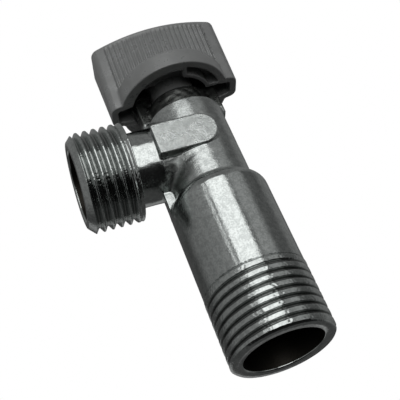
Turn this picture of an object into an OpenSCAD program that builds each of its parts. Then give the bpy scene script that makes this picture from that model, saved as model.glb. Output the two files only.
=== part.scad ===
// Quarter-turn angle valve with male pipe threads on both ends.
// Origin: centre of the inlet end face. +Z runs up the leg to the handle, -X is the outlet.

/* [Inlet leg] */
// Radius over the crests of the inlet thread
inlet_thread_r = 10.42; // [10.36:0.01:12]
// Length of the inlet thread
inlet_thread_len = 14.3; // [10:0.1:20]
// Chamfer at the inlet's end
inlet_chamfer = 0.45; // [0.2:0.05:0.49]
// Width of the run-out groove behind the inlet thread
runout_w = 0.65; // [0.4:0.05:1.2]
// Depth of the run-out groove
runout_depth = 0.4; // [0.25:0.05:0.8]
// Radius of the inlet bore
inlet_bore_r = 7.92; // [6:0.02:8.4]
// Radius of the plain leg
leg_r = 10.3; // [10:0.05:11.5]
// Radius of the rounding at the leg's shoulder
shoulder_round = 3; // [2:0.1:3.4]
// Height of the outlet's axis over the inlet face
outlet_z = 46.56; // [42:0.1:56]
// Drop from the outlet's axis to the leg's shoulder
shoulder_drop = 10.46; // [9:0.1:12]

/* [Neck] */
// Radius of the neck
neck_r = 8.35; // [8:0.05:9.2]
// Rise from the outlet's axis to the neck's top rim
neck_rise = 9.16; // [8.9:0.02:10]
// Radius of the stem boss on the neck
boss_r = 6.95; // [6.4:0.05:7.1]
// Height of the stem boss over the neck's rim
boss_h = 4.3; // [4.1:0.1:6]
// Radius that the two stop lugs reach
lug_r = 9.2; // [8.6:0.05:9.3]
// Width of a stop lug
lug_w = 3.8; // [3:0.1:4.4]
// Height by which the lugs reach up inside the handle
lug_reach = 2.2; // [1:0.1:2.5]

/* [Outlet] */
// Radius over the crests of the outlet thread
outlet_thread_r = 10.42; // [10:0.01:11.5]
// Length of the outlet thread
outlet_thread_len = 11.4; // [9:0.1:14]
// Distance from the leg's axis to the outlet face
outlet_reach = 26.05; // [24.5:0.05:34]
// Chamfer at the outlet's end
outlet_chamfer = 1.4; // [0.6:0.1:1.6]
// Radius of the smooth neck behind the outlet thread
outlet_neck_r = 7.88; // [7.6:0.02:8.3]
// Width of the small cast web under the outlet
web_w = 2.4; // [1.6:0.1:3.2]
// Radius of the outlet bore
outlet_bore_r = 7.5; // [6.8:0.05:8]

/* [Pad] */
// Length of the raised pad on the front
pad_len = 13.1; // [10:0.1:14]
// Height of the raised pad
pad_h = 7.4; // [5:0.1:9]
// Distance from the leg's axis to the pad's round end
pad_end = 3.6; // [2:0.1:5]
// Height of the pad's face over the neck's front
pad_proud = 0.65; // [0.4:0.05:1]

/* [Ball and seats] */
// Radius of the ball
ball_r = 6; // [5.6:0.05:6.05]
// Radius of the ports in the ball and the body
port_r = 3.9; // [3:0.1:4]
// Gap round the ball in its chamber
ball_gap = 0.3; // [0.25:0.01:0.35]
// Gap between the ball and the lips of its seats
seat_gap = 0.06; // [0.03:0.01:0.1]
// Length of the outlet seat along the flow
seat_len = 3.7; // [3.2:0.1:4.2]
// Outer radius of the rear seat
rear_seat_r = 4.4; // [4.2:0.05:4.5]
// Length of the retaining ring
retainer_len = 4; // [3:0.1:4.6]
// Width across the flats of the ring's key hole
key_w = 8; // [6.5:0.1:8.4]

/* [Stem] */
// Radius of the stem
stem_r = 3; // [2.9:0.02:3.1]
// Running gap between the stem and its bore
stem_gap = 0.05; // [0.02:0.01:0.08]
// Radius of the stem's collar
collar_r = 4.1; // [3.8:0.05:4.3]
// Thickness of the stem's collar
collar_h = 1.4; // [1:0.1:1.6]
// Thickness of the thrust washer
washer_t = 0.5; // [0.3:0.05:0.6]
// Section radius of the two seal rings
seal_r = 0.45; // [0.38:0.01:0.5]
// Thickness of the blade that turns the ball
blade_w = 2.3; // [1.8:0.1:2.6]
// Length of the blade that turns the ball
blade_len = 6.2; // [5:0.1:6.6]
// Width across the two flats of the stem's head
flats_w = 4.4; // [4:0.1:5]
// Thickness of the handle's web that the screw clamps
web_t = 1.6; // [1.2:0.1:2.2]

/* [Handle] */
// Angle by which the handle stands short of fully open
rest_turn = 3; // [0:0.5:6]
// Gap between the stem boss and the handle's rim
rim_gap = 1.7; // [1.2:0.1:2.4]
// Radius of the round skirt
skirt_r = 12.1; // [11.8:0.05:12.6]
// Height of the round skirt
skirt_h = 4.6; // [4.2:0.1:5.4]
// Radius inside the round skirt
skirt_bore_r = 9.6; // [9.5:0.05:9.9]
// Height of the handle from its rim to its top
handle_h = 16.3; // [15.8:0.1:20]
// Length of the grip
grip_len = 28.5; // [27:0.1:32]
// Width of the grip at its middle, at the top
grip_mid_w = 15.2; // [14.6:0.1:16.6]
// Width of the grip at its ends, at the top
grip_end_w = 9.2; // [8:0.1:10.4]
// Share of its top width that the grip keeps at the rim
grip_taper = 0.6; // [0.58:0.01:0.7]
// Wall of the grip
grip_wall = 1.5; // [1.2:0.05:1.7]
// Number of ribs on each long face
ribs = 22; // [12:1:26]
// Depth of a rib
rib_depth = 0.32; // [0.1:0.02:0.4]
// Plain strip at each end of the ribs
rib_margin = 2.9; // [2:0.1:5]
// Radius of the hub that takes the stem
hub_r = 5; // [4.6:0.1:5.4]
// Wall of the stop pocket
stop_wall = 0.9; // [0.7:0.05:1.1]
// Radius inside the stop pocket's curved wall
stop_r = 7.45; // [7.3:0.05:7.6]

/* [Fastening] */
// Radius of the screw's shank
screw_r = 1.5; // [1.3:0.05:1.7]
// Length of the screw's shank
screw_len = 8.5; // [6:0.1:9]
// Radius of the screw's head
screw_head_r = 2.9; // [2.6:0.1:3]
// Height of the screw's head
screw_head_h = 1.9; // [1.4:0.1:2.2]
// Width of one arm of the screw's cross recess
cross_w = 0.9; // [0.7:0.05:1.1]
// Length of the cross recess
cross_len = 3.2; // [2.4:0.1:3.8]
// Thickness of the washer under the screw's head
screw_washer_t = 0.7; // [0.5:0.05:0.9]
// Radius of the cap's disc
cap_r = 4.8; // [4.4:0.1:5]
// Thickness of the cap's disc
cap_t = 1.2; // [1:0.05:1.5]

/* [Hidden] */
$fn = 64;
// Clearance between pieces that are put together and stay so
fit = 0.05;
// Overrun of a cut past the face that it opens
over = 1;
shoulder_z = outlet_z - shoulder_drop;
neck_top_z = outlet_z + neck_rise;
boss_top_z = neck_top_z + boss_h;
rim_z = boss_top_z + rim_gap;
lug_top_z = rim_z + lug_reach;
handle_top_z = rim_z + handle_h;
// Ball chamber and the path through the body
chamber_r = ball_r + ball_gap;
chamber_top_z = outlet_z + chamber_r;
bore_top_z = shoulder_z - shoulder_round - 1.2;
bore_cone_h = (inlet_bore_r - port_r) * 0.55;
outlet_bore_x = outlet_reach - outlet_thread_len + 0.6;
// Both seats start level with the ball's curve and end behind it
seat_lap = 2.7;
front_seat_x = ball_r - seat_lap;
seat_back_x = front_seat_x + seat_len;
rear_seat_t = 1.75;
rear_seat_back_x = ball_r - 0.1;
rear_seat_x = rear_seat_back_x - rear_seat_t;
rear_seat_bore_r = rear_seat_r - 1.5;
// Stem, its flats and its seals
hub_bottom_z = boss_top_z + 0.6;
flats_z = hub_bottom_z - 0.15;
collar_bottom_z = chamber_top_z + 0.15;
collar_top_z = collar_bottom_z + collar_h;
washer_z = collar_top_z + fit;
stem_seat_z = washer_z + washer_t + fit;
stem_bore_len = boss_top_z - stem_seat_z;
groove_w = 2 * seal_r + 0.2;
lower_seal_z = stem_seat_z + 0.28 * stem_bore_len;
upper_seal_z = stem_seat_z + 0.72 * stem_bore_len;
seal_centre_r = stem_r - seal_r;
blade_z = outlet_z + port_r + 0.7;
slot_gap = 0.1;
// Inside of the handle
skirt_roof = 1.6;
skirt_round = 1;
grip_roof = 1.8;
grip_corner = 1.3;
grip_edge = 0.7;
well_r = screw_head_r + 0.8;
stop_side = lug_w / 2 + 0.12;
pocket_r = stop_r + stop_wall;
pocket_outer_r = skirt_r - 1.7;
cap_recess = cap_t - 0.2;
cap_plug_len = 2.4;
cap_plug_wall = 1;
// Stack under the cap, from the screw's head down to the stem's flats
head_gap = 0.2;
clamp_gap = 0.3;
head_z = handle_top_z - cap_recess - cap_plug_len - head_gap - screw_head_h;
web_top_z = head_z - screw_washer_t;
web_z = web_top_z - web_t;
stem_top_z = web_z - clamp_gap;
screw_bottom_z = head_z - screw_len;
screw_hole_z = screw_bottom_z - 0.4;

// Places a child drawn along +Z on the outlet's axis, pointing out of the outlet
module along_outlet() {
    translate([0, 0, outlet_z])
        rotate([0, -90, 0])
            children();
}

// Turns what rides on the stem to its place at rest
module at_rest() {
    rotate([0, 0, -rest_turn])
        children();
}

// Half section of a round bar of length h with a chamfer at its start
module bar_profile(r, h, cut) {
    polygon([[0, 0], [r - cut, 0], [r, cut], [r, h], [0, h]]);
}

// Leg with its thread's blank, its rounded shoulder, the neck and the boss above
module leg_and_neck() {
    rotate_extrude() {
        bar_profile(inlet_thread_r, inlet_thread_len - runout_w, inlet_chamfer);
        square([inlet_thread_r - runout_depth, inlet_thread_len + over]);
        translate([0, inlet_thread_len])
            square([leg_r, shoulder_z - shoulder_round - inlet_thread_len]);
        square([leg_r - shoulder_round, shoulder_z]);
        translate([leg_r - shoulder_round, shoulder_z - shoulder_round])
            circle(r = shoulder_round);
        square([neck_r, neck_top_z]);
        square([boss_r, boss_top_z]);
    }
}

// Outlet's neck and thread blank
module outlet_arm() {
    along_outlet()
        rotate_extrude() {
            square([outlet_neck_r, outlet_reach - outlet_chamfer]);
            translate([0, outlet_reach])
                mirror([0, 1])
                    bar_profile(outlet_thread_r, outlet_thread_len, outlet_chamfer);
        }
}

// Two cast lugs that stop the handle, one over the outlet and one behind it
module stop_lugs() {
    intersection() {
        translate([0, 0, neck_top_z - over])
            difference() {
                cylinder(r = lug_r, h = lug_top_z - neck_top_z + over);
                translate([0, 0, -over])
                    cylinder(r = boss_r - over, h = lug_top_z - neck_top_z + 3 * over);
            }
        translate([-2 * lug_r, -lug_w / 2, neck_top_z - 2 * over])
            cube([4 * lug_r, lug_w, lug_top_z]);
    }
}

// Raised pad on the front, square at the outlet and round at the other end
module front_pad() {
    translate([0, 0, outlet_z])
        rotate([90, 0, 0])
            linear_extrude(height = neck_r + pad_proud) {
                translate([pad_end - pad_h / 2, 0])
                    circle(d = pad_h);
                translate([pad_end - pad_len, -pad_h / 2])
                    square([pad_len - pad_h / 2, pad_h]);
            }
}

// Small cast web between the outlet's neck and the leg's shoulder
module outlet_web() {
    translate([-leg_r, -web_w / 2, shoulder_z - shoulder_round])
        cube([leg_r / 2, web_w, shoulder_drop - outlet_neck_r + shoulder_round + over]);
}

// Water's way: inlet bore, port, ball chamber, rear seat's recess and outlet bore
module waterway() {
    rotate_extrude()
        polygon([[0, -over], [inlet_bore_r, -over], [inlet_bore_r, bore_top_z],
                 [port_r, bore_top_z + bore_cone_h], [port_r, outlet_z], [0, outlet_z]]);
    along_outlet()
        rotate_extrude() {
            intersection() {
                circle(r = chamber_r);
                translate([0, -chamber_r])
                    square([chamber_r, 2 * chamber_r]);
            }
            translate([0, -rear_seat_back_x - fit])
                square([rear_seat_r + fit, rear_seat_back_x]);
            square([chamber_r, outlet_reach]);
            translate([0, outlet_bore_x])
                square([outlet_bore_r, outlet_reach]);
        }
}

// Stem's bore with the wider seat for its collar
module stem_way() {
    translate([0, 0, outlet_z])
        cylinder(r = collar_r + ball_gap, h = stem_seat_z - outlet_z);
    translate([0, 0, outlet_z])
        cylinder(r = stem_r + stem_gap, h = boss_top_z - outlet_z + over);
}

// Cast and plated body in one piece
module body() {
    color("silver")
        difference() {
            union() {
                leg_and_neck();
                outlet_arm();
                stop_lugs();
                front_pad();
                outlet_web();
            }
            waterway();
            stem_way();
        }
}

// Ball with an elbow port and a slot for the stem's blade
module ball() {
    color("gainsboro")
        at_rest()
            translate([0, 0, outlet_z])
                difference() {
                    sphere(r = ball_r);
                    sphere(r = port_r);
                    translate([0, 0, -ball_r - over])
                        cylinder(r = port_r, h = ball_r + over);
                    rotate([0, -90, 0])
                        cylinder(r = port_r, h = ball_r + over);
                    translate([-ball_r, -blade_w / 2 - slot_gap, blade_z - outlet_z - slot_gap])
                        cube([2 * ball_r, blade_w + 2 * slot_gap, ball_r]);
                }
}

// Sealing ring on the outlet's side of the ball
module outlet_seat() {
    color("white")
        difference() {
            along_outlet()
                translate([0, 0, front_seat_x])
                    difference() {
                        cylinder(r = chamber_r - fit, h = seat_len);
                        translate([0, 0, -over])
                            cylinder(r = port_r, h = seat_len + 2 * over);
                    }
            translate([0, 0, outlet_z])
                sphere(r = ball_r + seat_gap);
        }
}

// Support ring behind the ball
module rear_seat() {
    color("white")
        difference() {
            translate([rear_seat_x, 0, outlet_z])
                rotate([0, 90, 0])
                    difference() {
                        cylinder(r = rear_seat_r, h = rear_seat_back_x - rear_seat_x);
                        translate([0, 0, -over])
                            cylinder(r = rear_seat_bore_r, h = rear_seat_back_x);
                    }
            translate([0, 0, outlet_z])
                sphere(r = ball_r + seat_gap);
        }
}

// Threaded ring that holds the seats, with a six-sided key hole
module seat_retainer() {
    color("goldenrod")
        along_outlet()
            translate([0, 0, seat_back_x + fit])
                difference() {
                    cylinder(r = chamber_r - fit, h = retainer_len);
                    translate([0, 0, -over])
                        cylinder(d = key_w / cos(30), h = retainer_len + 2 * over, $fn = 6);
                }
}

// Groove for one seal ring
module seal_groove(z) {
    translate([0, 0, z - groove_w / 2])
        difference() {
            cylinder(r = stem_r + over, h = groove_w);
            translate([0, 0, -over])
                cylinder(r = stem_r - 2 * seal_r - 0.02, h = groove_w + 2 * over);
        }
}

// Stem with its blade, collar, two grooves, two flats and a screw hole
module stem() {
    color("goldenrod")
        at_rest()
            difference() {
                union() {
                    translate([-blade_len / 2, -blade_w / 2, blade_z])
                        cube([blade_len, blade_w, collar_bottom_z - blade_z + 0.5 * collar_h]);
                    translate([0, 0, collar_bottom_z])
                        cylinder(r = collar_r, h = collar_h);
                    translate([0, 0, collar_bottom_z])
                        cylinder(r = stem_r, h = flats_z - collar_bottom_z);
                    intersection() {
                        translate([0, 0, flats_z - over])
                            cylinder(r = stem_r, h = stem_top_z - flats_z + over);
                        translate([-2 * stem_r, -flats_w / 2, flats_z - over])
                            cube([4 * stem_r, flats_w, stem_top_z - flats_z + over]);
                    }
                }
                seal_groove(lower_seal_z);
                seal_groove(upper_seal_z);
                translate([0, 0, screw_hole_z])
                    cylinder(r = screw_r + fit, h = stem_top_z - screw_hole_z + over);
            }
}

// Low-friction washer between the stem's collar and the body
module thrust_washer() {
    color("white")
        translate([0, 0, washer_z])
            difference() {
                cylinder(r = collar_r, h = washer_t);
                translate([0, 0, -over])
                    cylinder(r = stem_r + 0.1, h = washer_t + 2 * over);
            }
}

// One rubber seal ring
module seal(z) {
    color("black")
        at_rest()
            translate([0, 0, z])
                rotate_extrude()
                    translate([seal_centre_r, 0])
                        circle(r = seal_r, $fn = 32);
}

module lower_seal() {
    seal(lower_seal_z);
}

module upper_seal() {
    seal(upper_seal_z);
}

// Half width of the grip at a distance x from its middle
function grip_side(x, len, mid_w, end_w) = end_w / 2 + (mid_w - end_w) / 2 * (1 - pow(2 * x / len, 2));

// Points along one long side, with rib crests and grooves of equal width
function side_points(len, mid_w, end_w, depth) =
    let (reach = grip_len / 2 - rib_margin, pitch = 2 * reach / ribs)
    [for (i = [0 : ribs - 1], s = [0, 1, 2, 3])
        let (x = reach - pitch * (i + [0, 0.2, 0.5, 0.7][s]))
        [x, grip_side(x, len, mid_w, end_w) - (s < 2 ? depth : 0)]];

// Rounded corner between a long side and the end at +X
function corner_points(len, mid_w, end_w) =
    let (cx = len / 2 - grip_corner, cy = grip_side(len / 2 - grip_corner, len, mid_w, end_w) - grip_corner)
    [for (a = [0 : 18 : 90]) [cx + grip_corner * cos(a), cy + grip_corner * sin(a)]];

// Outline of the grip seen from above
module grip_outline(len, mid_w, end_w, depth) {
    corner = corner_points(len, mid_w, end_w);
    side = side_points(len, mid_w, end_w, depth);
    half = concat(corner, side, [for (i = [len(corner) - 1 : -1 : 0]) [-corner[i][0], corner[i][1]]]);
    polygon(concat(half, [for (p = half) [-p[0], -p[1]]]));
}

// Flared block with the grip's outline, wide at the top
module grip_block(inset, depth, height) {
    k = grip_taper + (1 - grip_taper) * height / handle_h;
    translate([0, 0, height])
        mirror([0, 0, 1])
            linear_extrude(height = height, slices = 1, scale = [1, grip_taper / k])
                grip_outline(grip_len - 2 * inset, grip_mid_w * k - 2 * inset, grip_end_w * k - 2 * inset, depth);
}

// Outside of the handle over its rim: round skirt, flared grip and a chamfered top edge
module handle_shell() {
    rotate_extrude() {
        square([skirt_r, skirt_h - skirt_round]);
        square([skirt_r - skirt_round, skirt_h]);
        translate([skirt_r - skirt_round, skirt_h - skirt_round])
            circle(r = skirt_round);
    }
    grip_block(0, rib_depth, handle_h - grip_edge);
    translate([0, 0, handle_h - grip_edge])
        linear_extrude(height = grip_edge, slices = 1,
                       scale = [1 - 2 * grip_edge / grip_len, 1 - 2 * grip_edge / grip_mid_w])
            grip_outline(grip_len, grip_mid_w, grip_end_w, rib_depth);
}

// Quarter ring that the lugs stop against, at radii from r1 to r2 and set back from both axes
module stop_quarter(r1, r2, back, height) {
    intersection() {
        difference() {
            cylinder(r = r2, h = height);
            translate([0, 0, -over])
                cylinder(r = r1, h = height + 2 * over);
        }
        translate([back, -back - 2 * r2, -over])
            cube([2 * r2, 2 * r2, height + 2 * over]);
    }
}

// Moulded handle: hollow below, with a hub on the stem and a cored stop quarter
module handle() {
    inside_h = handle_h - grip_roof;
    room_h = skirt_h - skirt_roof;
    color("dimgray")
        at_rest()
            translate([0, 0, rim_z])
                difference() {
                    union() {
                        difference() {
                            handle_shell();
                            translate([0, 0, -over])
                                cylinder(r = skirt_bore_r, h = room_h + over);
                            grip_block(grip_wall, 0, inside_h);
                            translate([0, 0, -over])
                                linear_extrude(height = 2 * over)
                                    square([grip_len - 2 * grip_wall, grip_end_w * grip_taper - 2 * grip_wall],
                                           center = true);
                        }
                        stop_quarter(stop_r, skirt_bore_r + 0.2, stop_side, skirt_h - 0.2);
                        translate([0, 0, hub_bottom_z - rim_z])
                            cylinder(r = hub_r, h = handle_h - hub_bottom_z + rim_z - 0.5 * grip_roof);
                    }
                    stop_quarter(pocket_r, pocket_outer_r, stop_side + stop_wall, skirt_h - skirt_roof);
                    translate([0, 0, -over])
                        stop_quarter(pocket_r, pocket_outer_r, stop_side + stop_wall, 2 * over);
                    intersection() {
                        translate([0, 0, hub_bottom_z - rim_z - over])
                            cylinder(r = stem_r + fit, h = web_z - hub_bottom_z + over);
                        translate([-2 * stem_r, -flats_w / 2 - fit, hub_bottom_z - rim_z - over])
                            cube([4 * stem_r, flats_w + 2 * fit, web_z - hub_bottom_z + over]);
                    }
                    translate([0, 0, web_z - rim_z - over])
                        cylinder(r = screw_r + 0.3, h = web_t + 2 * over);
                    translate([0, 0, web_top_z - rim_z])
                        cylinder(r = well_r, h = handle_h);
                    translate([0, 0, handle_h - cap_recess])
                        cylinder(r = cap_r + 0.1, h = handle_h);
                }
}

// Pan-head screw with a cross recess
module handle_screw() {
    color("gainsboro")
        at_rest()
            difference() {
                union() {
                    translate([0, 0, screw_bottom_z])
                        cylinder(r = screw_r, h = screw_len);
                    translate([0, 0, head_z])
                        cylinder(r = screw_head_r, h = screw_head_h);
                }
                for (turn = [0, 90])
                    rotate([0, 0, turn])
                        translate([-cross_len / 2, -cross_w / 2, head_z + screw_head_h / 2])
                            cube([cross_len, cross_w, screw_head_h]);
            }
}

// Flat washer under the screw's head
module screw_washer() {
    color("gainsboro")
        at_rest()
            translate([0, 0, web_top_z])
                difference() {
                    cylinder(r = screw_head_r + 0.4, h = screw_washer_t);
                    translate([0, 0, -over])
                        cylinder(r = screw_r + 0.1, h = screw_washer_t + 2 * over);
                }
}

// Plain cap that closes the screw's well
module handle_cap() {
    color("gray")
        at_rest()
            translate([0, 0, handle_top_z - cap_recess]) {
                cylinder(r = cap_r, h = cap_t);
                translate([0, 0, -cap_plug_len])
                    difference() {
                        cylinder(r = well_r - fit, h = cap_plug_len + 0.5 * cap_t);
                        translate([0, 0, -over])
                            cylinder(r = well_r - cap_plug_wall, h = cap_plug_len + over);
                    }
            }
}

body();
ball();
outlet_seat();
rear_seat();
seat_retainer();
stem();
thrust_washer();
lower_seal();
upper_seal();
handle();
handle_screw();
screw_washer();
handle_cap();
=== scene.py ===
"""Angle valve: a plated cast body with two pipe threads and a ribbed plastic handle.

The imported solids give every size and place. The body and the handle are shown by finer surfaces worked
out with numpy, and every other solid keeps its mesh and gets a finish. Lengths in this file are in
millimetres, and they become metres when a mesh, a lamp or the camera is made.
"""

import logging
import math
from collections.abc import Callable
from dataclasses import dataclass
from enum import Enum
from typing import Any

import bpy
import numpy as np
from mathutils import Matrix, Vector


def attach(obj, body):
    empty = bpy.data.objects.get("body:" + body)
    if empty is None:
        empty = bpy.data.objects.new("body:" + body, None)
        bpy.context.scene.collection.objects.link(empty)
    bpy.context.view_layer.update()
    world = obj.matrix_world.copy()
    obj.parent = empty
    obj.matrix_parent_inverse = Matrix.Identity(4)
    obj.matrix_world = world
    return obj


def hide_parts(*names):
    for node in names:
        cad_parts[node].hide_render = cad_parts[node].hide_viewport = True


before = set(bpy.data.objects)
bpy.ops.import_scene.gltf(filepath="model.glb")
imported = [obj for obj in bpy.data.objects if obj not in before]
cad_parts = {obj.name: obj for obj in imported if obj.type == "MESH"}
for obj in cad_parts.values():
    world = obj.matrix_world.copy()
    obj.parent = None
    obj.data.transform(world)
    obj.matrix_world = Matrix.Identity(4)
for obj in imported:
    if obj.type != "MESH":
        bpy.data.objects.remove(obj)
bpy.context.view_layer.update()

log = logging.getLogger("angle_valve")
MM = 0.001
Field = Callable[[Any, Any, Any], np.ndarray]


# ---------------------------------------------------------------- signed distances and meshes


def join_soft(a: np.ndarray, b: np.ndarray, k: float) -> np.ndarray:
    """Union of two distances with a fillet.

    Formula: the smaller of a and b, less a quarter of k times the square of how far the two are
    within k of each other.

    Args:
        a: signed distance to the first shape, negative inside.
        b: signed distance to the second shape.
        k: width of the fillet.

    Returns:
        The signed distance to both shapes together.
    """
    h = np.maximum(k - np.abs(a - b), 0.0) / k
    return np.minimum(a, b) - h * h * k / 4


def cut_soft(a: np.ndarray, b: np.ndarray, k: float) -> np.ndarray:
    """Shape a less shape b, with the cut's rim rounded over a width of k."""
    return -join_soft(-a, b, k)


def slab(value: np.ndarray, low: float, high: float) -> np.ndarray:
    """Distance to the stretch from low to high along one coordinate, negative inside."""
    return np.abs(value - (low + high) / 2) - (high - low) / 2


def corner(a: np.ndarray, b: np.ndarray, r: float) -> np.ndarray:
    """Intersection of two distances with its convex edge rounded.

    Formula: both distances grow by r, the edge's distance is the length of their positive parts, the
    inside keeps the larger of them, and r is taken off again.

    Args:
        a: distance to the first shape.
        b: distance to the second shape.
        r: radius of the rounded edge.

    Returns:
        The signed distance to what both shapes share.
    """
    a, b = a + r, b + r
    return np.hypot(np.maximum(a, 0), np.maximum(b, 0)) + np.minimum(np.maximum(a, b), 0) - r


def lumps(x: np.ndarray, y: np.ndarray, z: np.ndarray, wave: float, seed: int) -> np.ndarray:
    """Smooth uneven relief of a casting, from about -1 to 1.

    Formula: the mean of eight sines of the position along eight fixed directions, each with a length
    near wave and a phase of its own.

    Args:
        x, y, z: the position.
        wave: the usual length of one lump.
        seed: the draw of directions and phases.

    Returns:
        The relief at each position.
    """
    draw = np.random.default_rng(seed)
    way = draw.normal(size=(8, 3))
    way *= (2 * math.pi / wave / draw.uniform(0.7, 1.4, 8) / np.linalg.norm(way, axis=1))[:, None]
    phase = draw.uniform(0, 2 * math.pi, 8)
    total = sum(np.sin(w[0] * x + w[1] * y + w[2] * z + p) for w, p in zip(way, phase))
    return total / 3.2


def slope(field: Field, p: np.ndarray) -> np.ndarray:
    """Gradient of a field at points, as the difference between both sides of each point.

    Args:
        field: the signed distance.
        p: the points, one per row.

    Returns:
        One gradient per row.
    """
    h = 0.01
    out = np.empty_like(p)
    for i in range(3):
        a, b = p.copy(), p.copy()
        a[:, i] += h
        b[:, i] -= h
        out[:, i] = (field(*a.T) - field(*b.T)) / (2 * h)
    return out


def skin(field: Field, low: tuple, high: tuple, step: tuple) -> tuple[np.ndarray, np.ndarray, np.ndarray]:
    """Closed surface where a field is zero, by surface nets.

    Formula: the field is worked out on a grid. Each cell that the surface passes through gets one
    point, the mean of the crossings on its twelve edges, and each grid edge that the surface crosses
    gets one four-sided face between the points of the four cells round it. The points then slide
    along the field's gradient onto the surface itself.

    Args:
        field: the signed distance, negative inside.
        low: lowest corner of the grid.
        high: highest corner of the grid.
        step: the grid's spacing along x, y and z.

    Returns:
        The points, the faces and the surface's normals at the points.
    """
    axes = [np.arange(low[i], high[i] + step[i], step[i]) for i in range(3)]
    value = field(*np.meshgrid(*axes, indexing="ij", sparse=True))
    inside = value < 0
    offsets = np.array([(i, j, k) for i in (0, 1) for j in (0, 1) for k in (0, 1)])
    size = np.array(value.shape) - 1
    count = sum(inside[i:i + size[0], j:j + size[1], k:k + size[2]].astype(np.int8) for i, j, k in offsets)
    cells = np.argwhere((count > 0) & (count < 8))
    number = np.full(tuple(size), -1, np.int64)
    number[tuple(cells.T)] = np.arange(len(cells))
    eight = np.stack([value[tuple((cells + o).T)] for o in offsets], axis=1)
    total, hits = np.zeros((len(cells), 3)), np.zeros((len(cells), 1))
    for a in range(8):
        for bit in (1, 2, 4):
            if a & bit:
                continue
            va, vb = eight[:, a], eight[:, a | bit]
            crossed = ((va < 0) != (vb < 0))[:, None]
            t = (va / np.where(va == vb, 1, va - vb))[:, None]
            total += np.where(crossed, offsets[a] + t * (offsets[a | bit] - offsets[a]), 0)
            hits += crossed
    points = (cells + total / hits) * np.array(step) + np.array(low)
    start = points.copy()
    reach = 0.6 * np.array(step)
    for _ in range(4):
        g = slope(field, points)
        points -= g * (field(*points.T) / np.maximum((g * g).sum(1), 1e-6))[:, None]
        points = np.clip(points, start - reach, start + reach)
    faces = []
    for a in range(3):
        turn = (a, (a + 1) % 3, (a + 2) % 3)
        s, n = inside.transpose(turn), number.transpose(turn)
        lower, upper = s[:-1, 1:-1, 1:-1], s[1:, 1:-1, 1:-1]
        ring = np.stack([n[:, :-1, :-1], n[:, 1:, :-1], n[:, 1:, 1:], n[:, :-1, 1:]], axis=-1)
        faces += [ring[lower & ~upper], ring[~lower & upper][:, ::-1]]
    g = slope(field, points)
    return points, np.concatenate(faces), g / np.linalg.norm(g, axis=1)[:, None]


def ring_faces(around: int, along: int) -> np.ndarray:
    """Four-sided faces of a grid that closes on itself both ways, as on a tube with walls.

    Args:
        around: number of points round the axis.
        along: number of points round the wall's section.

    Returns:
        One face per row, as point numbers.
    """
    u, v = np.meshgrid(np.arange(around), np.arange(along), indexing="ij")
    u2, v2 = (u + 1) % around, (v + 1) % along
    return np.stack([u * along + v, u2 * along + v, u2 * along + v2, u * along + v2], axis=-1).reshape(-1, 4)


def make_piece(name: str, points: np.ndarray, faces: np.ndarray, finish: bpy.types.Material,
               body: str, normals: np.ndarray | None = None) -> bpy.types.Object:
    """Puts points and faces into a smooth mesh that rides on a body.

    Args:
        name: the piece's name.
        points: its points in millimetres, in the row frame.
        faces: its four-sided faces as point numbers, outwards.
        finish: its material.
        body: the body that carries it.
        normals: the surface's own normals at the points, where they are known.

    Returns:
        The new object.
    """
    mesh = bpy.data.meshes.new(name)
    mesh.vertices.add(len(points))
    mesh.vertices.foreach_set("co", (points * MM).astype(np.float32).ravel())
    mesh.loops.add(faces.size)
    mesh.loops.foreach_set("vertex_index", faces.astype(np.int32).ravel())
    mesh.polygons.add(len(faces))
    mesh.polygons.foreach_set("loop_start", np.arange(0, faces.size, 4, dtype=np.int32))
    mesh.update(calc_edges=True)
    mesh.shade_smooth()
    if normals is not None:
        mesh.normals_split_custom_set_from_vertices(normals.astype(np.float32))
    mesh.materials.append(finish)
    piece = bpy.data.objects.new(name, mesh)
    bpy.context.scene.collection.objects.link(piece)
    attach(piece, body)
    log.info("%s: %d points, %d faces", name, len(points), len(faces))
    return piece


# ---------------------------------------------------------------- finishes


class Nodes:
    """Short way to place and link the nodes of one tree."""

    def __init__(self, tree: bpy.types.NodeTree) -> None:
        """Keeps the tree that the nodes go into."""
        self.tree = tree

    def add(self, kind: str, inputs: dict | None = None, **settings: Any) -> bpy.types.Node:
        """Adds a node.

        Args:
            kind: Blender's name of the node's type, without its first word.
            inputs: a value or a socket for each named or numbered input.
            settings: the node's own properties.

        Returns:
            The node.
        """
        node = self.tree.nodes.new("ShaderNode" + kind)
        for key, value in settings.items():
            setattr(node, key, value)
        for key, value in (inputs or {}).items():
            if isinstance(value, bpy.types.NodeSocket):
                self.tree.links.new(value, node.inputs[key])
            else:
                node.inputs[key].default_value = value
        return node

    def math(self, operation: str, a: Any, b: Any = 0.0, c: Any = 0.0,
             clamp: bool = False) -> bpy.types.NodeSocket:
        """Result of a Math node on two or three values or sockets."""
        node = self.add("Math", {0: a, 1: b, 2: c}, operation=operation, use_clamp=clamp)
        return node.outputs[0]

    def noise(self, place: Any, scale: float, detail: float = 3.0,
              rough: float = 0.55) -> bpy.types.NodeSocket:
        """Noise of a given scale, in features per metre, at a place."""
        node = self.add("TexNoise", {"Vector": place, "Scale": scale, "Detail": detail, "Roughness": rough})
        return node.outputs["Fac"]

    def ramp(self, value: Any, low: float, high: float, out_low: float,
             out_high: float) -> bpy.types.NodeSocket:
        """Value carried from one range smoothly to another, and held at its ends."""
        node = self.add("MapRange", {"Value": value, "From Min": low, "From Max": high, "To Min": out_low,
                                     "To Max": out_high}, interpolation_type="SMOOTHSTEP")
        return node.outputs["Result"]

    def blend(self, share: Any, first: Any, second: Any) -> bpy.types.NodeSocket:
        """Colour between two colours, at a share from 0 to 1."""
        node = self.add("Mix", {"Factor": share, 6: first, 7: second}, data_type="RGBA")
        return node.outputs[2]


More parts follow.
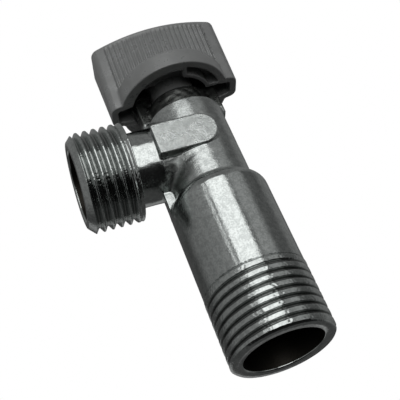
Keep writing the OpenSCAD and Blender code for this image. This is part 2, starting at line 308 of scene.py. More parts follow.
def shared_group(name: str, inputs: dict[str, float], outputs: list[str],
                 fill: Callable[[Nodes, Any, Any], None]) -> bpy.types.NodeTree:
    """Builds an effect that several finishes use.

    Args:
        name: the group's name.
        inputs: each number that it takes, with its usual value.
        outputs: each number that it gives.
        fill: places the nodes between the group's input and output.

    Returns:
        The node group.
    """
    tree = bpy.data.node_groups.new(name, "ShaderNodeTree")
    for key, value in inputs.items():
        socket = tree.interface.new_socket(key, in_out="INPUT", socket_type="NodeSocketFloat")
        socket.default_value = value
    for key in outputs:
        tree.interface.new_socket(key, in_out="OUTPUT", socket_type="NodeSocketFloat")
    nodes = Nodes(tree)
    start, end = tree.nodes.new("NodeGroupInput"), tree.nodes.new("NodeGroupOutput")
    fill(nodes, start.outputs, end.inputs)
    return tree


def fill_grain(nodes: Nodes, given: Any, gives: Any) -> None:
    """Grain of a surface: two noises of different fineness for the height, and a coarse one for tone."""
    place = nodes.add("TexCoord").outputs["Object"]
    fine = nodes.add("TexNoise", {"Vector": place, "Scale": given["Scale"], "Detail": 3.0}).outputs["Fac"]
    coarse_scale = nodes.math("MULTIPLY", given["Scale"], 0.31)
    coarse = nodes.add("TexNoise", {"Vector": place, "Scale": coarse_scale, "Detail": 2.0}).outputs["Fac"]
    rest = nodes.math("SUBTRACT", 1.0, given["Coarse share"])
    height = nodes.math("ADD", nodes.math("MULTIPLY", fine, rest),
                        nodes.math("MULTIPLY", coarse, given["Coarse share"]))
    nodes.tree.links.new(height, gives["Height"])
    tone_scale = nodes.math("MULTIPLY", given["Scale"], 0.09)
    tone = nodes.add("TexNoise", {"Vector": place, "Scale": tone_scale, "Detail": 2.0}).outputs["Fac"]
    nodes.tree.links.new(nodes.ramp(tone, 0.3, 0.7, 0.0, 1.0), gives["Tone"])


def fill_zone(nodes: Nodes, given: Any, gives: Any) -> None:
    """Soft mask that is 1 inside a box of the object's own coordinates, in millimetres."""
    place = nodes.add("TexCoord").outputs["Object"]
    split = nodes.add("SeparateXYZ", {0: place}).outputs
    share = None
    for i, axis in enumerate("XYZ"):
        value = nodes.math("MULTIPLY", split[i], 1 / MM)
        middle = nodes.math("MULTIPLY", nodes.math("ADD", given[axis + " low"], given[axis + " high"]), 0.5)
        half = nodes.math("MULTIPLY", nodes.math("SUBTRACT", given[axis + " high"], given[axis + " low"]), 0.5)
        past = nodes.math("SUBTRACT", nodes.math("ABSOLUTE", nodes.math("SUBTRACT", value, middle)), half)
        edge = nodes.math("SUBTRACT", 1.0, nodes.math("DIVIDE", past, given["Edge"]), clamp=True)
        share = edge if share is None else nodes.math("MULTIPLY", share, edge)
    nodes.tree.links.new(share, gives["Share"])


def fill_bore(nodes: Nodes, given: Any, gives: Any) -> None:
    """Masks that are 1 on the walls of the water's way and down in the threads, by the radius there; the plating
    darkens both as painted shade.
    """
    place = nodes.add("TexCoord").outputs["Object"]
    place = nodes.add("VectorMath", {0: place, "Scale": 1 / MM}, operation="SCALE").outputs[0]
    x, y, z = nodes.add("SeparateXYZ", {0: place}).outputs
    inlet = nodes.add("VectorMath", {0: nodes.add("CombineXYZ", {0: x, 1: y}).outputs[0]}, operation="LENGTH")
    along = nodes.add("CombineXYZ", {0: y, 1: nodes.math("SUBTRACT", z, given["Axis"])}).outputs[0]
    outlet = nodes.add("VectorMath", {0: along}, operation="LENGTH")
    low = nodes.math("MULTIPLY", nodes.math("LESS_THAN", inlet.outputs["Value"], given["Inlet radius"]),
                     nodes.math("MULTIPLY", nodes.math("LESS_THAN", z, 36.0),
                                nodes.math("GREATER_THAN", z, 0.3)))
    side = nodes.math("MULTIPLY", nodes.math("LESS_THAN", outlet.outputs["Value"], given["Outlet radius"]),
                      nodes.math("MULTIPLY", nodes.math("LESS_THAN", x, -5.0),
                                 nodes.math("GREATER_THAN", x, -25.7)))
    nodes.tree.links.new(nodes.math("MAXIMUM", low, side), gives["Share"])
    lower = nodes.math("MULTIPLY", nodes.ramp(inlet.outputs["Value"], 10.02, 10.3, 1.0, 0.0),
                       nodes.math("MULTIPLY", nodes.ramp(z, 0.4, 1.2, 0.0, 1.0),
                                  nodes.ramp(z, 13.4, 14.1, 1.0, 0.0)))
    upper = nodes.math("MULTIPLY", nodes.ramp(outlet.outputs["Value"], 9.45, 9.95, 0.7, 0.0),
                       nodes.math("MULTIPLY", nodes.ramp(x, -25.0, -24.2, 0.0, 1.0),
                                  nodes.ramp(x, -15.4, -14.9, 1.0, 0.0)))
    nodes.tree.links.new(nodes.math("MAXIMUM", lower, upper), gives["Groove"])


GRAIN = shared_group("surface_grain", {"Scale": 2500.0, "Coarse share": 0.4}, ["Height", "Tone"], fill_grain)
ZONE = shared_group("soft_zone", {f"{a} {e}": v for a in "XYZ" for e, v in (("low", -99.0), ("high", 99.0))}
                    | {"Edge": 0.5}, ["Share"], fill_zone)
BORE = shared_group("bore_walls", {"Axis": 46.56, "Inlet radius": 7.99, "Outlet radius": 7.57}, ["Share", "Groove"],
                    fill_bore)


def start_material(name: str) -> tuple[Nodes, bpy.types.Node]:
    """New material with one Principled BSDF.

    Args:
        name: the material's name.

    Returns:
        The material's nodes and its shader.
    """
    material = bpy.data.materials.new(name)
    material.use_nodes = True
    nodes = Nodes(material.node_tree)
    return nodes, material.node_tree.nodes["Principled BSDF"]


def place_group(nodes: Nodes, tree: bpy.types.NodeTree, values: dict[str, float]) -> Any:
    """Places a shared effect with its own values and returns its outputs."""
    node = nodes.add("Group", node_tree=tree)
    for key, value in values.items():
        node.inputs[key].default_value = value
    return node.outputs


@dataclass(frozen=True)
class Plating:
    """Bright plating over a casting: grain, a mottled gloss, a slight tint, and painted shade in the thread roots,
    on the boss, below the pad and in the bores.
    """

    name: str = "body_plating"
    colour: tuple[float, float, float] = (0.60, 0.63, 0.615)
    dull: tuple[float, float, float] = (0.44, 0.465, 0.455)
    shade_colour: tuple[float, float, float] = (0.10, 0.105, 0.10)
    rough_low: float = 0.10
    # colour of the painted shade in the thread roots, on the boss under the handle and below the pad
    rough_high: float = 0.17
    grain: float = 3300.0
    depth: float = 0.00003
    pad_depth: float = 0.00007

    def material(self) -> bpy.types.Material:
        """Builds the finish and returns it."""
        nodes, shader = start_material(self.name)
        grain = place_group(nodes, GRAIN, {"Scale": self.grain, "Coarse share": 0.45})
        pad = place_group(nodes, ZONE, {"X low": -9.3, "X high": 3.4, "Y low": -9.6, "Y high": -8.7,
                                        "Z low": 43.0, "Z high": 50.1, "Edge": 0.3})["Share"]
        # rough-cast zone below the pad: bumpier and rougher, and also darkened there as painted shade
        rough = place_group(nodes, ZONE, {"X low": -8.8, "X high": -4.6, "Y low": -9.0, "Y high": -3.0,
                                          "Z low": 38.0, "Z high": 42.4, "Edge": 1.2})["Share"]
        # boss under the handle: bumpier and rougher, and also darkened as painted shade
        boss = place_group(nodes, ZONE, {"Z low": 56.4, "Z high": 66.0, "Edge": 0.6})["Share"]
        lumpy = nodes.math("MAXIMUM", nodes.math("MAXIMUM", pad, rough), boss)
        place = nodes.add("TexCoord").outputs["Object"]
        chunky = nodes.noise(place, 2700.0, 4.0, 0.6)
        plain = nodes.add("Bump", {"Strength": 1.0, "Distance": self.depth, "Height": grain["Height"]})
        height = nodes.math("MULTIPLY", chunky, lumpy)
        bump = nodes.add("Bump", {"Strength": 1.0, "Distance": self.pad_depth, "Height": height,
                                  "Normal": plain.outputs[0]})
        nodes.tree.links.new(bump.outputs[0], shader.inputs["Normal"])
        speck = nodes.ramp(grain["Height"], 0.38, 0.62, 0.0, 1.0)
        colour = nodes.blend(speck, (*self.dull, 1), (*self.colour, 1))
        # masks for painted shade in the bores and the thread roots
        holes = place_group(nodes, BORE, {})
        bore = holes["Share"]
        # painted shade: thread roots, the boss and the zone below the pad are darkened towards the shade colour
        painted_shade = nodes.math("MAXIMUM", nodes.math("MULTIPLY", holes["Groove"], 0.8),
                           nodes.math("MAXIMUM", boss, nodes.math("MULTIPLY", rough, 0.6)))
        colour = nodes.blend(painted_shade, colour, (*self.shade_colour, 1))
        # painted shade: the bore walls are darkened nearly to black
        colour = nodes.blend(bore, colour, (0.03, 0.028, 0.024, 1))
        nodes.tree.links.new(colour, shader.inputs["Base Color"])
        gloss = nodes.ramp(grain["Tone"], 0.0, 1.0, self.rough_low, self.rough_high)
        gloss = nodes.math("ADD", gloss, nodes.math("MULTIPLY", lumpy, 0.06))
        gloss = nodes.math("ADD", gloss, nodes.math("MULTIPLY", bore, 0.3))
        neck = place_group(nodes, ZONE, {"X low": -9.0, "Z low": 36.6, "Z high": 66.0, "Edge": 0.4})["Share"]
        gloss = nodes.math("ADD", gloss, nodes.math("MULTIPLY", neck, 0.09))
        nodes.tree.links.new(gloss, shader.inputs["Roughness"])
        shader.inputs["Metallic"].default_value = 1.0
        return nodes_material(nodes)


def nodes_material(nodes: Nodes) -> bpy.types.Material:
    """Material that owns a tree of nodes."""
    return next(m for m in bpy.data.materials if m.node_tree == nodes.tree)


@dataclass(frozen=True)
class Metal:
    """Machined metal: fine grain, a mottled gloss and slight colour changes."""

    name: str
    colour: tuple[float, float, float]
    dull: tuple[float, float, float]
    rough_low: float
    rough_high: float
    grain: float = 3000.0
    depth: float = 0.000006

    def material(self) -> bpy.types.Material:
        """Builds the finish and returns it."""
        nodes, shader = start_material(self.name)
        grain = place_group(nodes, GRAIN, {"Scale": self.grain, "Coarse share": 0.3})
        bump = nodes.add("Bump", {"Strength": 1.0, "Distance": self.depth, "Height": grain["Height"]})
        nodes.tree.links.new(bump.outputs[0], shader.inputs["Normal"])
        colour = nodes.blend(grain["Tone"], (*self.colour, 1), (*self.dull, 1))
        nodes.tree.links.new(colour, shader.inputs["Base Color"])
        gloss = nodes.ramp(grain["Tone"], 0.0, 1.0, self.rough_low, self.rough_high)
        nodes.tree.links.new(gloss, shader.inputs["Roughness"])
        shader.inputs["Metallic"].default_value = 1.0
        return nodes_material(nodes)


@dataclass(frozen=True)
class Moulded:
    """Moulded plastic or rubber: fine grain, flow marks in its tone and an uneven sheen."""

    name: str
    colour: tuple[float, float, float]
    dull: tuple[float, float, float]
    rough_low: float
    rough_high: float
    grain: float = 5200.0
    depth: float = 0.000008
    metallic: float = 0.0

    def material(self) -> bpy.types.Material:
        """Builds the finish and returns it."""
        nodes, shader = start_material(self.name)
        grain = place_group(nodes, GRAIN, {"Scale": self.grain, "Coarse share": 0.25})
        bump = nodes.add("Bump", {"Strength": 1.0, "Distance": self.depth, "Height": grain["Height"]})
        nodes.tree.links.new(bump.outputs[0], shader.inputs["Normal"])
        colour = nodes.blend(grain["Tone"], (*self.colour, 1), (*self.dull, 1))
        nodes.tree.links.new(colour, shader.inputs["Base Color"])
        gloss = nodes.ramp(grain["Tone"], 0.0, 1.0, self.rough_low, self.rough_high)
        nodes.tree.links.new(gloss, shader.inputs["Roughness"])
        shader.inputs["Metallic"].default_value = self.metallic
        return nodes_material(nodes)


class Finish(Enum):
    """The finishes of the valve's pieces, each under its slot's name in the record."""

    BODY = Plating()
    # painted shade: a near-black finish for the bore's walls
    BORE = Metal("body_bore", (0.05, 0.045, 0.04), (0.02, 0.02, 0.018), 0.5, 0.7, 2500.0, 0.00002)
    BALL = Metal("ball_plating", (0.7, 0.71, 0.72), (0.62, 0.63, 0.64), 0.06, 0.14)
    BRASS = Metal("plain_brass", (0.72, 0.53, 0.24), (0.56, 0.4, 0.17), 0.2, 0.34)
    STEEL = Metal("screw_steel", (0.56, 0.56, 0.57), (0.44, 0.44, 0.44), 0.24, 0.38)
    SEAT = Moulded("seat_plastic", (0.84, 0.84, 0.8), (0.76, 0.76, 0.71), 0.32, 0.46)
    RUBBER = Moulded("seal_rubber", (0.02, 0.02, 0.02), (0.035, 0.035, 0.034), 0.5, 0.7)
    HANDLE = Moulded("handle_plastic", (0.23, 0.236, 0.234), (0.205, 0.21, 0.208), 0.27, 0.36,
                      metallic=0.25)
    CAP = Moulded("cap_plastic", (0.2, 0.206, 0.204), (0.18, 0.185, 0.183), 0.2, 0.3)


# ---------------------------------------------------------------- body


@dataclass
class Thread:
    """One male pipe thread as a closed tube: bore, end face, chamfer, helical groove and back face."""

    name: str
    crest_r: float
    bore_r: float
    length: float
    chamfer: float
    chamfer_start_r: float
    depth: float
    land: float
    root: float
    start: float
    run_out: float
    back_r: float
    step_at: float
    step_r: float
    relief: float = 0.035
    pitch: float = 1.8143
    around: int = 400
    rows: int = 150

    def groove(self, turn: np.ndarray) -> np.ndarray:
        """Depth of the groove as a share, from its place along the pitch.

        Formula: the place counts from the middle of a groove, where the share is 1. It stays 1 over
        the root, falls in a straight line down the flank to 0, and stays 0 over the land.

        Args:
            turn: the place in pitches.

        Returns:
            The share of the full depth.
        """
        off = np.abs(turn - np.round(turn))
        flank = np.clip(((1 - self.land) / 2 - off) / ((1 - self.land) / 2 - self.root / 2), 0, 1)
        return flank

    def section(self, angle: np.ndarray) -> tuple[np.ndarray, np.ndarray]:
        """Closed section of the tube's wall at each angle round the axis.

        Formula: the radius of the outside is the crest's less the groove's depth there, and never
        more than the chamfer's. The groove's place along the axis grows by one pitch a turn.

        Args:
            angle: the angles round the axis, as a column.

        Returns:
            Distances along the axis and radii, one row per angle.
        """
        s = np.linspace(0, self.length, self.rows)[None, :]
        turn = (s - self.start) / self.pitch - angle / (2 * math.pi)
        fade = np.clip((self.length - self.run_out - s) / self.pitch, 0, 1)
        lead = np.clip((s - 0.65 * self.chamfer) / (0.35 * self.chamfer), 0, 1)
        outside = self.crest_r - self.depth * self.groove(turn) * fade * lead
        outside = np.minimum(outside, self.chamfer_start_r
                             + s * (self.crest_r - self.chamfer_start_r) / self.chamfer)
        back = np.clip((s - (self.length - self.run_out)) / 0.15, 0, 1)
        outside = outside + (self.back_r - outside) * back
        inner_s = np.array([0, 0.25, self.step_at - 0.02, self.step_at, self.length])
        inner_r = np.array([self.bore_r + 0.12, self.bore_r, self.bore_r, self.step_r, self.step_r])
        n = len(angle)
        s_all = np.concatenate([np.repeat(s[:, ::-1], n, 0), np.repeat(inner_s[None], n, 0)], axis=1)
        r_all = np.concatenate([outside[:, ::-1], np.repeat(inner_r[None], n, 0)], axis=1)
        return s_all, r_all

    def build(self, place: np.ndarray, finish: bpy.types.Material) -> bpy.types.Object:
        """Makes the thread's piece.

        Args:
            place: 3 by 4 matrix from the thread's own frame, whose third axis runs from the end face
                into the body, to the row frame.
            finish: its material.

        Returns:
            The piece.
        """
        angle = np.linspace(0, 2 * math.pi, self.around, endpoint=False)[:, None]
        s, r = self.section(angle)
        rough = self.relief * lumps(r * np.cos(angle), r * np.sin(angle), s, 0.75, 7) * (r > self.bore_r + 0.3)
        r = r - np.abs(rough)
        own = np.stack([r * np.cos(angle), r * np.sin(angle), s], axis=-1).reshape(-1, 3)
        points = own @ place[:, :3].T + place[:, 3]
        faces = ring_faces(self.around, s.shape[1])
        a, b, c = (points[faces[:, i]] for i in range(3))
        if np.einsum("ij,ij->i", a, np.cross(b, c)).sum() < 0:
            faces = faces[:, ::-1]
        return make_piece(self.name, points, faces, finish, "valve_body")


@dataclass
class Casting:
    """The cast middle of the body: leg, shoulder, neck, boss, lugs, outlet neck, pad and web."""

    leg_r: float = 10.3
    leg_z: float = 14.3
    shoulder_z: float = 36.1
    shoulder_round: float = 3.0
    neck_r: float = 8.35
    neck_z: float = 55.72
    boss_r: float = 6.95
    boss_z: float = 60.02
    lug_r: float = 9.2
    lug_w: float = 3.8
    lug_z: float = 63.92
    axis_z: float = 46.56
    arm_r: float = 7.88
    arm_x: float = -14.9
    pad_low_x: float = -9.5
    pad_high_x: float = 3.6
    pad_h: float = 7.4
    pad_y: float = -9.0
    pad_draft: float = 0.035
    bore_r: float = 7.92
    port_r: float = 3.9
    bore_z: float = 31.9
    cone_z: float = 34.11
    chamber_r: float = 6.3
    stem_r: float = 3.05
    collar_r: float = 4.4
    seat_z: float = 55.01
    step: float = 0.245

    def outside(self, x: np.ndarray, y: np.ndarray, z: np.ndarray) -> np.ndarray:
        """Distance to the casting's outside, joined with small fillets.

        Formula: the leg, neck and boss are bars about the z axis, the outlet's neck is a bar about
        the x axis through the outlet's height, and the pad is a rounded plate in front of them. A low
        relief of lumps is taken off, coarser on the faces that stay rough.
        """
        around = np.hypot(x, y)
        leg = corner(around - self.leg_r, z - self.shoulder_z, self.shoulder_round)
        neck = corner(around - self.neck_r, z - self.neck_z, 0.35)
        boss = corner(around - self.boss_r, z - self.boss_z, 0.5)
        out = join_soft(leg, neck, 0.5)
        arm = corner(np.hypot(y, z - self.axis_z) - self.arm_r, np.maximum(self.arm_x - x, x), 0.1)
        out = join_soft(out, arm, 1.3)
        lug = corner(corner(np.abs(y) - self.lug_w / 2, around - self.lug_r, 0.35), z - self.lug_z, 0.35)
        lug = np.maximum(lug, self.boss_r - 1 - around)
        lug = np.maximum(lug, self.neck_z - 1 - z)
        out = join_soft(join_soft(out, boss, 0.6), lug, 0.5)
        pad = self.pad(x, y, z)
        web = corner(np.abs(y) - 1.2, slab(x, -10.3, -5.15), 0.15)
        web = np.maximum(web, slab(z, self.shoulder_z - 3, self.axis_z - 6.9))
        out = join_soft(join_soft(out, web, 0.3), pad, 0.35)
        cast = np.clip((z - 36.3) / 0.8, 0, 1) * 0.010 + 0.003
        coarse = np.clip((z - 56.0) / 0.5, 0, 1) * 0.04 * np.clip((8.0 - around) / 0.5, 0, 1)
        under = np.clip(1.4 - np.hypot((x + 6.2) / 3.0, (z - 40.6) / 2.0), 0, 1) * np.clip(-y / 3, 0, 1)
        coarse = coarse + 0.03 * np.clip(under * 2, 0, 1)
        return out + cast * lumps(x, y, z, 3.1, 5) + coarse * lumps(x, y, z, 1.5, 6)

    def pad(self, x: np.ndarray, y: np.ndarray, z: np.ndarray) -> np.ndarray:
        """Distance to the raised pad, square at the outlet and round at its other end."""
        middle = self.pad_high_x - self.pad_h / 2
        round_end = np.hypot(np.maximum(x - middle, 0), z - self.axis_z) - self.pad_h / 2
        outline = corner(round_end, self.pad_low_x - x, 0.5)
        face = self.pad_y - y - self.pad_draft * (z - self.axis_z) - 0.5 * self.pad_draft * (x + 3)
        return corner(outline, np.maximum(face, y), 0.3)

    def hollow(self, x: np.ndarray, y: np.ndarray, z: np.ndarray) -> np.ndarray:
        """Distance to the water's way and the stem's bore inside the casting."""
        around = np.hypot(x, y)
        along = np.hypot(y, z - self.axis_z)
        cone = self.bore_r + (self.port_r - self.bore_r) * np.clip(
            (z - self.bore_z) / (self.cone_z - self.bore_z), 0, 1)
        inlet = np.maximum(around - cone, z - self.axis_z)
        ball = np.hypot(along, x) - self.chamber_r
        tunnel = np.maximum(along - self.chamber_r, x)
        rear = np.maximum(along - 4.45, slab(x, 0, 5.95))
        stem = around - self.stem_r
        collar = np.maximum(around - self.collar_r, z - self.seat_z)
        upper = np.maximum(np.minimum(stem, collar), self.axis_z - z)
        return np.minimum.reduce(np.broadcast_arrays(inlet, ball, tunnel, rear, upper))

    def field(self, x: np.ndarray, y: np.ndarray, z: np.ndarray) -> np.ndarray:
        """Distance to the casting's metal, which ends at the inlet thread's back face."""
        solid = np.maximum(self.outside(x, y, z), self.leg_z - z)
        return cut_soft(solid, self.hollow(x, y, z), 0.12)

    def build(self, finish: bpy.types.Material) -> bpy.types.Object:
        """Makes the casting's piece with the given finish."""
        low = (-15.3, -10.9, self.leg_z - 0.6)
        high = (10.9, 10.9, self.lug_z + 0.6)
        points, faces, normals = skin(self.field, low, high, (self.step,) * 3)
        return make_piece("body_casting", points, faces, finish, "valve_body", normals)


class Body:
    """Everything that shows of the valve's body."""

    def __init__(self) -> None:
        """Gives the two threads and the casting their sizes."""
        self.inlet = Thread("body_inlet_thread", 10.42, 7.92, 14.35, 0.45, 9.97, 0.66, 0.5, 0.12, 2.2, 0.35, 10.2,
                            7.0, 7.92)
        self.outlet = Thread("body_outlet_thread", 10.42, 7.5, 11.4, 1.4, 9.0, 0.95, 0.16, 0.16, 0.72, 0.1, 10.2,
                             10.8, 6.32)
        self.casting = Casting()

    def build(self) -> None:
        """Makes the pieces and lets them stand for the body's solid."""
        finish = Finish.BODY.value.material()
        up = np.array([[1.0, 0, 0, 0], [0, 1, 0, 0], [0, 0, 1, 0]])
        inwards = np.array([[0.0, 0, 1, -26.05], [1, 0, 0, 0], [0, 1, 0, 46.56]])
        pieces = [self.inlet.build(up, finish), self.outlet.build(inwards, finish), self.casting.build(finish)]
        for piece in pieces:
            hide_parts("body")


# ---------------------------------------------------------------- handle


@dataclass
class Handle:
    """Moulded handle: round skirt, flared ribbed grip, hub and cored stop quarter, hollow below."""

    turn: float = 3.0
    rim_z: float = 61.72
    skirt_r: float = 12.1
    skirt_h: float = 4.6
    bore_r: float = 9.6
    height: float = 16.3
    length: float = 28.5
    mid_w: float = 15.2
    end_w: float = 9.2
    taper: float = 0.6
    wall: float = 1.5
    roof: float = 1.8
    corner_r: float = 1.3
    edge_r: float = 0.7
    ribs: int = 22
    rib_depth: float = 0.32
    rib_margin: float = 2.9
    rib_fade: float = 0.8
    hub_r: float = 5.0
    hub_z: float = 60.62
    stop_back: float = 2.02
    stop_r: float = 7.45
    stop_wall: float = 0.9
    pocket_r: float = 10.4
    room_h: float = 3.0
    stem_r: float = 3.05
    flats: float = 4.5
    web_z: float = 70.22
    web_top: float = 71.82
    well_r: float = 3.7
    cap_r: float = 4.9
    recess: float = 1.0

    def half_width(self, x: np.ndarray, h: np.ndarray) -> np.ndarray:
        """Half width of the grip at a distance from its middle and a height over the rim.

        Formula: a parabola along x from the middle's width to the ends' width, times a share that
        grows in a straight line from the taper at the rim to 1 at the top.
        """
        share = self.taper + (1 - self.taper) * h / self.height
        return (self.end_w + (self.mid_w - self.end_w) * (1 - (2 * x / self.length) ** 2)) / 2 * share

    def rib(self, x: np.ndarray) -> np.ndarray:
        """Depth of the grooves between the ribs along the grip, 0 outside the ribbed stretch."""
        reach = self.length / 2 - self.rib_margin
        pitch = 2 * reach / self.ribs
        wave = 0.5 + 0.5 * np.cos(2 * math.pi * (reach - x - 0.1 * pitch) / pitch)
        return self.rib_depth * wave ** 0.8 * (np.abs(x) < reach)

    def block(self, x: np.ndarray, y: np.ndarray, h: np.ndarray, inset: float, ribs: bool) -> np.ndarray:
        """Distance to the flared grip, or to its hollow where it is inset.

        Formula: the distance to the long sides is how far y lies past the half width, divided by the
        length of that difference's gradient. It meets the distance to the ends in a rounded corner.
        """
        side = np.abs(y) - self.half_width(x, h) + inset
        if ribs:
            side = side + self.rib(x) * np.clip((self.height - self.rib_fade - h) / self.rib_fade, 0, 1)
        lean = (1 - self.taper) / self.height * self.mid_w / 2
        side = side / math.hypot(1, lean)
        r = max(self.corner_r - inset * 0.5, 0.3)
        return corner(side, np.abs(x) - self.length / 2 + inset, r)

    def quarter(self, x: np.ndarray, y: np.ndarray, around: np.ndarray, r1: float, r2: float,
                back: float) -> np.ndarray:
        """Distance to a quarter ring at +x and -y, set back from both axes."""
        ring = slab(around, r1, r2)
        return corner(ring, np.maximum(back - x, back + y), 0.12)

    def field(self, x0: np.ndarray, y0: np.ndarray, z: np.ndarray) -> np.ndarray:
        """Distance to the handle's plastic, with the handle at its place at rest."""
        t = math.radians(self.turn)
        x, y = x0 * math.cos(t) - y0 * math.sin(t), x0 * math.sin(t) + y0 * math.cos(t)
        h = z - self.rim_z
        around = np.hypot(x, y)
        skirt = corner(around - self.skirt_r, h - self.skirt_h, 1.0)
        skirt = corner(skirt, -h, 0.25)
        grip = corner(self.block(x, y, h, 0, True), h - self.height, self.edge_r)
        grip = corner(grip, -h, 0.25)
        out = join_soft(skirt, grip, 0.35)
        room = np.maximum(around - self.bore_r, h - self.room_h)
        inner = np.maximum(self.block(x, y, h, self.wall, False), h - self.height + self.roof)
        out = cut_soft(out, np.minimum(room, inner), 0.3)
        stop = self.quarter(x, y, around, self.stop_r, self.bore_r + 0.3, self.stop_back)
        stop = np.maximum(stop, slab(h, 0.05, self.skirt_h - 0.2))
        hub = np.maximum(around - self.hub_r, slab(z, self.hub_z, self.rim_z + self.height - 0.9))
        out = np.minimum.reduce(np.broadcast_arrays(out, stop, hub))
        pocket = self.quarter(x, y, around, self.stop_r + self.stop_wall, self.pocket_r,
                              self.stop_back + self.stop_wall)
        out = cut_soft(out, np.maximum(pocket, h - self.room_h), 0.2)
        stem = np.maximum(np.maximum(around - self.stem_r, np.abs(y) - self.flats / 2), z - self.web_z)
        hole = np.maximum(around - 1.8, z - self.web_top - 0.5)
        well = np.maximum(around - self.well_r, self.web_top - z)
        recess = np.maximum(around - self.cap_r, self.height - self.recess - h)
        return np.maximum(out, -np.minimum.reduce(np.broadcast_arrays(stem, hole, well, recess)))

    def build(self, finish: bpy.types.Material) -> bpy.types.Object:
        """Makes the handle's piece, with a grid that has six columns to a rib."""
        pitch = 2 * (self.length / 2 - self.rib_margin) / self.ribs
        low = (-14.9, -12.8, self.hub_z - 0.5)
        high = (14.9, 12.8, self.rim_z + self.height + 0.5)
        points, faces, normals = skin(self.field, low, high, (pitch / 6, 0.22, 0.22))
        piece = make_piece("handle_moulding", points, faces, finish, "handle_group", normals)
        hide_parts("handle")
        return piece


# ---------------------------------------------------------------- the other solids


SOLID_FINISHES = {
    "ball": Finish.BALL, "outlet_seat": Finish.SEAT, "rear_seat": Finish.SEAT, "seat_retainer": Finish.BRASS,
    "stem": Finish.BRASS, "thrust_washer": Finish.SEAT, "lower_seal": Finish.RUBBER,
    "upper_seal": Finish.RUBBER, "handle_screw": Finish.STEEL, "screw_washer": Finish.STEEL,
    "handle_cap": Finish.CAP,
}


def dress_solids() -> None:
    """Gives every solid that keeps its own mesh the finish of its slot."""
    made: dict[Finish, bpy.types.Material] = {}
    for name, finish in SOLID_FINISHES.items():
        if finish not in made:
            made[finish] = finish.value.material()
        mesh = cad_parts[name].data
        mesh.materials.clear()
        mesh.materials.append(made[finish])
        log.info("%s: %s", name, made[finish].name)


# ---------------------------------------------------------------- studio


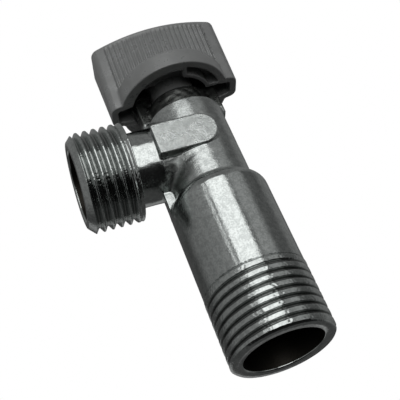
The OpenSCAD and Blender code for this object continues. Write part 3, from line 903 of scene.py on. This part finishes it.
@dataclass
class Studio:
    """Camera, lamps, pale floor and white background."""

    eye: tuple[float, float, float] = (-40.754, -138.523, -52.795)
    turn: tuple[float, float, float] = (0.963, -0.333, -0.128)
    lens: float = 75.52
    middle: tuple[float, float, float] = (-2.0, -4.0, 38.0)

    def camera(self) -> None:
        """Sets the camera at the photograph's place.

        Formula: the fitted rotation takes row-frame directions to the image's right, down and
        forward. The camera's own axes are right, up and backward.
        """
        angle = Vector(self.turn).length
        rows = Matrix.Rotation(angle, 3, Vector(self.turn).normalized())
        axes = Matrix((rows[0], -rows[1], -rows[2])).transposed()
        data = bpy.data.cameras.new("camera")
        data.lens, data.sensor_width = self.lens, 36.0
        data.clip_start, data.clip_end = 0.005, 20.0
        camera = bpy.data.objects.new("camera", data)
        camera.matrix_world = Matrix.Translation(Vector(self.eye) * MM) @ axes.to_4x4()
        bpy.context.scene.collection.objects.link(camera)
        bpy.context.scene.camera = camera

    def lamp(self, name: str, azimuth: float, height: float, distance: float, wide: float, tall: float,
             power: float) -> bpy.types.Object:
        """Soft box that faces the object.

        Args:
            name: the lamp's name.
            azimuth: its direction from the object, in degrees from +x.
            height: its elevation in degrees.
            distance: its distance in metres.
            wide: its width in metres.
            tall: its height in metres.
            power: its power in watts.

        Returns:
            The lamp.
        """
        a, e = math.radians(azimuth), math.radians(height)
        way = Vector((math.cos(a) * math.cos(e), math.sin(a) * math.cos(e), math.sin(e)))
        data = bpy.data.lights.new(name, "AREA")
        data.shape, data.size, data.size_y, data.energy = "RECTANGLE", wide, tall, power
        lamp = bpy.data.objects.new(name, data)
        lamp.location = Vector(self.middle) * MM + way * distance
        lamp.rotation_mode = "QUATERNION"
        lamp.rotation_quaternion = way.to_track_quat("Z", "Y")
        lamp.visible_camera = False
        bpy.context.scene.collection.objects.link(lamp)
        return lamp

    def world(self) -> None:
        """White background for the camera, gloss and glass, and an even light for matt surfaces."""
        world = bpy.data.worlds.new("studio")
        bpy.context.scene.world = world
        world.use_nodes = True
        nodes = Nodes(world.node_tree)
        path = nodes.add("LightPath").outputs
        seen = nodes.math("MAXIMUM", nodes.math("MAXIMUM", path["Is Camera Ray"], path["Is Glossy Ray"]),
                          path["Is Transmission Ray"])
        way = nodes.add("SeparateXYZ", {0: nodes.add("TexCoord").outputs["Object"]}).outputs
        even = nodes.ramp(way["Z"], -0.45, 0.15, 0.06, 0.62)
        strength = nodes.math("ADD", nodes.math("MULTIPLY", even, nodes.math("SUBTRACT", 1.0, seen)), seen)
        back = world.node_tree.nodes["Background"]
        back.inputs["Color"].default_value = (1, 1, 1, 1)
        world.node_tree.links.new(strength, back.inputs["Strength"])

    def floor(self) -> None:
        """Pale floor under the inlet end that is clear from below and fades out far from the object."""
        bpy.ops.mesh.primitive_circle_add(vertices=96, radius=1.6, fill_type="NGON", location=(0, 0, -0.0002))
        floor = bpy.context.object
        floor.name = "floor"
        nodes, shader = start_material("floor")
        material = nodes_material(nodes)
        place = nodes.add("TexCoord").outputs["Object"]
        speck = nodes.noise(place, 900.0)
        nodes.tree.links.new(nodes.blend(speck, (0.86, 0.86, 0.86, 1), (0.9, 0.9, 0.9, 1)),
                             shader.inputs["Base Color"])
        shader.inputs["Roughness"].default_value = 0.85
        far = nodes.ramp(nodes.add("VectorMath", {0: place}, operation="LENGTH").outputs["Value"],
                         0.25, 1.2, 0.0, 1.0)
        clear = nodes.math("MAXIMUM", nodes.add("NewGeometry").outputs["Backfacing"], far)
        mix = nodes.add("MixShader", {0: clear, 1: shader.outputs[0]})
        nodes.tree.links.new(nodes.add("BsdfTransparent").outputs[0], mix.inputs[2])
        nodes.tree.links.new(mix.outputs[0], nodes.tree.nodes["Material Output"].inputs[0])
        floor.data.materials.append(material)
        floor.visible_diffuse = floor.visible_glossy = floor.visible_transmission = floor.visible_shadow = False

    def walls(self) -> None:
        """Grey studio walls round the set, which only gloss sees, with a weak panel behind the object."""
        bpy.ops.mesh.primitive_uv_sphere_add(segments=64, ring_count=32, radius=0.9)
        walls = bpy.context.object
        walls.name = "walls"
        material = bpy.data.materials.new("walls")
        material.use_nodes = True
        nodes = Nodes(material.node_tree)
        place = nodes.add("TexCoord").outputs["Object"]
        x, y, z = nodes.add("SeparateXYZ", {0: nodes.add("VectorMath", {0: place},
                                                         operation="NORMALIZE").outputs[0]}).outputs
        azimuth = nodes.math("MULTIPLY", nodes.math("ARCTAN2", y, x), 180 / math.pi)
        tone = nodes.add("ValToRGB", {0: nodes.math("DIVIDE", nodes.math("ADD", azimuth, 180.0), 360.0)})
        stops = [(-180, .2), (-145, .26), (-129, .3), (-128, .1), (-68, .08), (-62, .36), (-38, .35), (-26, .11),
                 (2, .1), (16, .2), (40, .2), (58, .07), (140, .07), (165, .2), (180, .2)]
        ramp = tone.color_ramp
        while len(ramp.elements) < len(stops):
            ramp.elements.new(0.5)
        for element, (angle, value) in zip(ramp.elements, stops):
            element.position, element.color = (angle + 180) / 360, (value, value, value, 1)
        low = nodes.ramp(z, math.sin(math.radians(-33)), math.sin(math.radians(-25)), 1.0, 0.0)
        front = nodes.ramp(y, 0.0, 0.25, 0.01, 0.07)
        dark = nodes.blend(low, tone.outputs[0], front)
        high = nodes.ramp(z, 0.6, 0.75, 0.0, 1.0)
        colour = nodes.blend(high, dark, (0.2, 0.2, 0.2, 1))
        panel = nodes.math("MULTIPLY", nodes.ramp(azimuth, 70.0, 78.0, 0.0, 1.0),
                           nodes.ramp(azimuth, 118.0, 126.0, 1.0, 0.0))
        panel = nodes.math("MULTIPLY", panel, nodes.math("MULTIPLY", nodes.ramp(z, -0.26, -0.2, 0.0, 1.0),
                                                         nodes.ramp(z, 0.2, 0.26, 1.0, 0.0)))
        colour = nodes.blend(panel, colour, (0.3, 0.3, 0.3, 1))
        glow = nodes.add("Emission", {"Color": colour, "Strength": 1.0})
        nodes.tree.links.new(glow.outputs[0], nodes.tree.nodes["Material Output"].inputs[0])
        walls.data.materials.append(material)
        walls.visible_camera = walls.visible_diffuse = walls.visible_shadow = False
        walls.visible_transmission = False

    def build(self) -> None:
        """Sets up the whole studio."""
        bpy.context.scene.view_settings.view_transform = "Standard"
        self.camera()
        self.world()
        self.floor()
        self.walls()
        self.lamp("front_box", -93.9, 7.5, 0.5, 0.385, 0.64, 1.1)
        self.lamp("strip_box", -124.5, 10.0, 0.5, 0.03, 0.5, 0.066)
        log.info("studio: camera, world, floor, walls and lamps")


def main() -> None:
    """Builds the valve's pieces and the studio in order."""
    logging.basicConfig(level=logging.INFO, format="%(name)s %(message)s")
    Body().build()
    Handle().build(Finish.HANDLE.value.material())
    dress_solids()
    Studio().build()
    log.info("sizes written")


if __name__ == "__main__":
    main()
